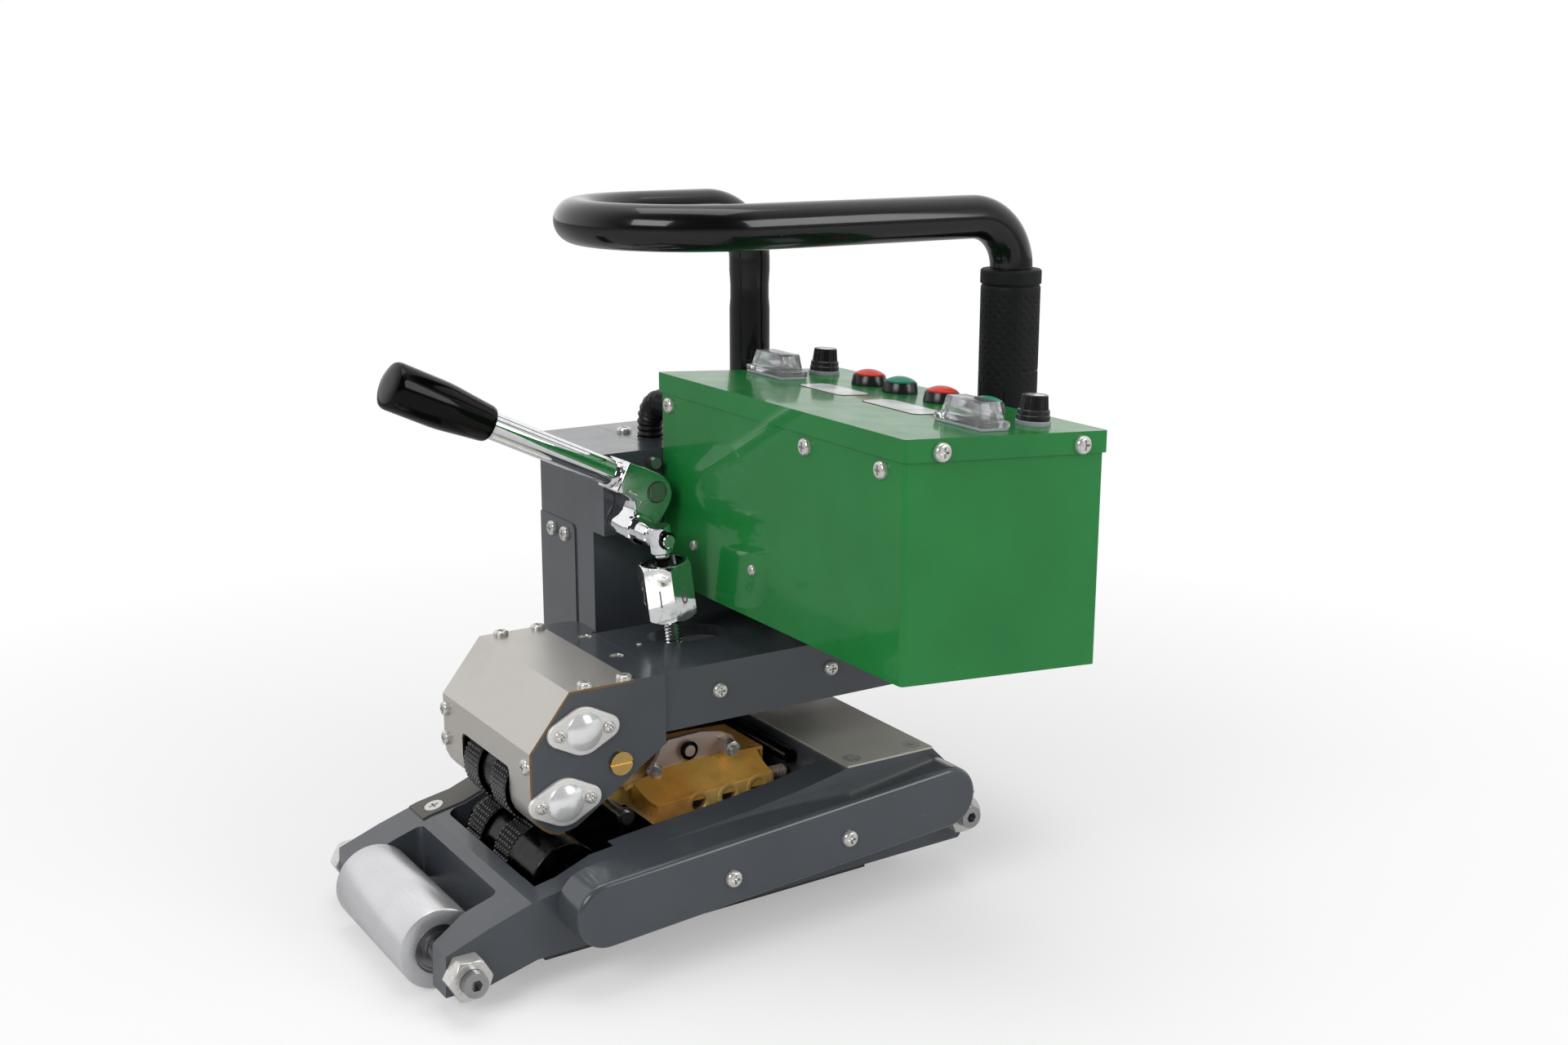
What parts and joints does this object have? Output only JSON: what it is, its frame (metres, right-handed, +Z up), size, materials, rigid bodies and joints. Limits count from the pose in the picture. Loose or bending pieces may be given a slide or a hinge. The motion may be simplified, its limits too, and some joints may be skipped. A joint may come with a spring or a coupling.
{
  "type": "hot wedge welding machine",
  "caption": "Self-propelled hot-wedge welder for plastic liner sheet: chassis on rollers, lever-pressed roller head, control box and bent tube handle.",
  "frame": {"origin": "centre of the overall box's underside, on the ground under the machine", "axes": "+Z up, +X from the front roller to the rear, +Y from the operator's near side (chain cover) to the motor tower"},
  "size_m": [0.37, 0.3006, 0.3607],
  "materials": {
    "casting_paint": "satin blue-grey paint",
    "box_paint": "gloss green paint",
    "black_gloss": "gloss black enamel",
    "stainless": "brushed stainless sheet",
    "zinc": "zinc-plated fasteners",
    "chrome": "polished chrome plate",
    "aluminium": "turned aluminium",
    "machine_steel": "machined steel",
    "roller_black": "blackened steel",
    "copper": "heat-stained copper alloy",
    "brass": "machined brass",
    "rubber": "moulded black rubber",
    "black_plastic": "moulded black plastic",
    "clear_plastic": "clear silicone hood",
    "red_plastic": "red button",
    "green_plastic": "green button",
    "legend": "blank satin legend plate",
    "board": "circuit board and components"
  },
  "bodies": {
    "chassis": {"chassis_casting": "casting_paint", "bottom_plate": "black_gloss", "rear_plate": "stainless", "side_strip": "stainless", "deck_screws": "zinc", "drive_cover": "casting_paint", "frame_screws": "zinc", "front_axle": "machine_steel", "axle_nuts": "zinc", "rear_cross_bolt": "machine_steel", "roller_bracket": "machine_steel", "drive_chain": "machine_steel", "tower_housing": "casting_paint", "tower_cover": "casting_paint", "pivot_pins": "machine_steel", "gearbox_housing": "casting_paint", "rear_yoke": "casting_paint", "box_body": "box_paint", "box_lid": "box_paint", "switch_covers": "clear_plastic", "control_bezels": "black_plastic", "label_plates": "legend", "conduit": "black_plastic", "handle_tube": "black_gloss", "handle_grip": "rubber", "drive_motor": "machine_steel", "control_electronics": "board", "wedge_guides": "machine_steel"},
    "arm": {"upper_arm": "casting_paint", "head_block": "casting_paint", "head_cover": "stainless", "head_screws": "zinc", "flange_caps": "stainless", "brass_screw": "brass", "head_chain": "machine_steel"},
    "front_roller": {"front_roller": "aluminium"},
    "rear_roller": {"rear_roller": "aluminium"},
    "drive_roller": {"lower_roller": "roller_black", "lower_sprocket": "machine_steel"},
    "output_shaft": {"rear_shaft": "machine_steel"},
    "pressure_roller": {"pressure_roller": "roller_black"},
    "head_shaft": {"head_shaft": "machine_steel"},
    "lever": {"lever_body": "chrome", "lever_rod": "chrome", "lever_knob": "black_plastic", "crank_pin": "chrome"},
    "link": {"pressure_rod": "chrome"},
    "adjuster": {"adjuster_nut": "chrome"},
    "wedge": {"wedge_block": "copper", "wedge_heaters": "machine_steel", "wedge_shoe": "copper", "wedge_bracket": "stainless"},
    "rocker_1": {"rocker_1": "black_plastic"},
    "rocker_2": {"rocker_2": "black_plastic"},
    "knob_1": {"knob_1": "black_plastic"},
    "knob_2": {"knob_2": "black_plastic"},
    "button_1": {"button_1": "red_plastic"},
    "button_2": {"button_2": "green_plastic"},
    "button_3": {"button_3": "red_plastic"},
    "button_4": {"button_4": "green_plastic"}
  },
  "joints": [
    {"name": "front_roller_spin", "type": "hinge", "parent": "chassis", "child": "front_roller", "pos_m": [-0.165, 0.0208, 0.02], "axis": [0, 1, 0], "continuous": true},
    {"name": "rear_roller_spin", "type": "hinge", "parent": "chassis", "child": "rear_roller", "pos_m": [0.098, 0.0208, 0.02], "axis": [0, 1, 0], "continuous": true},
    {"name": "drive_roller_spin", "type": "hinge", "parent": "chassis", "child": "drive_roller", "pos_m": [-0.1007, 0.0208, 0.0407], "axis": [0, 1, 0], "continuous": true, "deforming": ["drive_chain", "head_chain"]},
    {"name": "output_shaft_spin", "type": "hinge", "parent": "chassis", "child": "output_shaft", "pos_m": [0.09672, 0.0208, 0.05579], "axis": [0, 1, 0], "continuous": true},
    {"name": "arm_lift", "type": "hinge", "parent": "chassis", "child": "arm", "pos_m": [0.153, 0.0208, 0.119], "axis": [0, 1, 0], "range_deg": [0, 4.29]},
    {"name": "pressure_roller_spin", "type": "hinge", "parent": "arm", "child": "pressure_roller", "pos_m": [-0.1007, 0.0208, 0.0803], "axis": [0, 1, 0], "continuous": true},
    {"name": "head_shaft_spin", "type": "hinge", "parent": "arm", "child": "head_shaft", "pos_m": [-0.08898, 0.0208, 0.11434], "axis": [0, 1, 0], "continuous": true},
    {"name": "lever_turn", "type": "hinge", "parent": "chassis", "child": "lever", "pos_m": [-0.007, 0.0208, 0.2075], "axis": [0, 1, 0], "range_deg": [0, 37]},
    {"name": "link_swing", "type": "hinge", "parent": "lever", "child": "link", "pos_m": [-0.0179, 0.0208, 0.1891], "axis": [0, 1, 0], "range_deg": [-44.68, 0]},
    {"name": "adjuster_turn", "type": "hinge", "parent": "link", "child": "adjuster", "pos_m": [-0.01454, 0.0268, 0.16332], "axis": [0.1292, 0, -0.9916], "range_deg": [-180, 180]},
    {"name": "wedge_slide", "type": "slide", "parent": "chassis", "child": "wedge", "axis": [-1, 0, 0], "range_m": [0, 0.008]},
    {"name": "rocker_1_tip", "type": "hinge", "parent": "chassis", "child": "rocker_1", "pos_m": [0.067, 0.0498, 0.26282], "axis": [0.998, 0, -0.0636], "range_deg": [0, 20]},
    {"name": "rocker_2_tip", "type": "hinge", "parent": "chassis", "child": "rocker_2", "pos_m": [0.0655, -0.1202, 0.26291], "axis": [0.998, 0, -0.0636], "range_deg": [0, 20]},
    {"name": "knob_1_turn", "type": "hinge", "parent": "chassis", "child": "knob_1", "pos_m": [0.0995, 0.0523, 0.26075], "axis": [0.0636, 0, 0.998], "range_deg": [-150, 150]},
    {"name": "knob_2_turn", "type": "hinge", "parent": "chassis", "child": "knob_2", "pos_m": [0.0995, -0.1237, 0.26075], "axis": [0.0636, 0, 0.998], "range_deg": [-150, 150]},
    {"name": "button_1_press", "type": "slide", "parent": "chassis", "child": "button_1", "axis": [-0.0636, 0, -0.998], "range_m": [0, 0.0025], "stiffness_N_per_m": 500, "springref_m": -0.001},
    {"name": "button_2_press", "type": "slide", "parent": "chassis", "child": "button_2", "axis": [-0.0636, 0, -0.998], "range_m": [0, 0.0025], "stiffness_N_per_m": 500, "springref_m": -0.001},
    {"name": "button_3_press", "type": "slide", "parent": "chassis", "child": "button_3", "axis": [-0.0636, 0, -0.998], "range_m": [0, 0.0025], "stiffness_N_per_m": 500, "springref_m": -0.001},
    {"name": "button_4_press", "type": "slide", "parent": "chassis", "child": "button_4", "axis": [-0.0636, 0, -0.998], "range_m": [0, 0.0025], "stiffness_N_per_m": 500, "springref_m": -0.001}
  ],
  "couplings": [
    {"joint": "output_shaft_spin", "follows": "drive_roller_spin", "ratio": 1},
    {"joint": "pressure_roller_spin", "follows": "drive_roller_spin", "ratio": -1},
    {"joint": "head_shaft_spin", "follows": "drive_roller_spin", "ratio": -1},
    {"joint": "lever_turn", "follows": "arm_lift", "ratio": 8.6141},
    {"joint": "link_swing", "follows": "arm_lift", "ratio": -10.391}
  ]
}
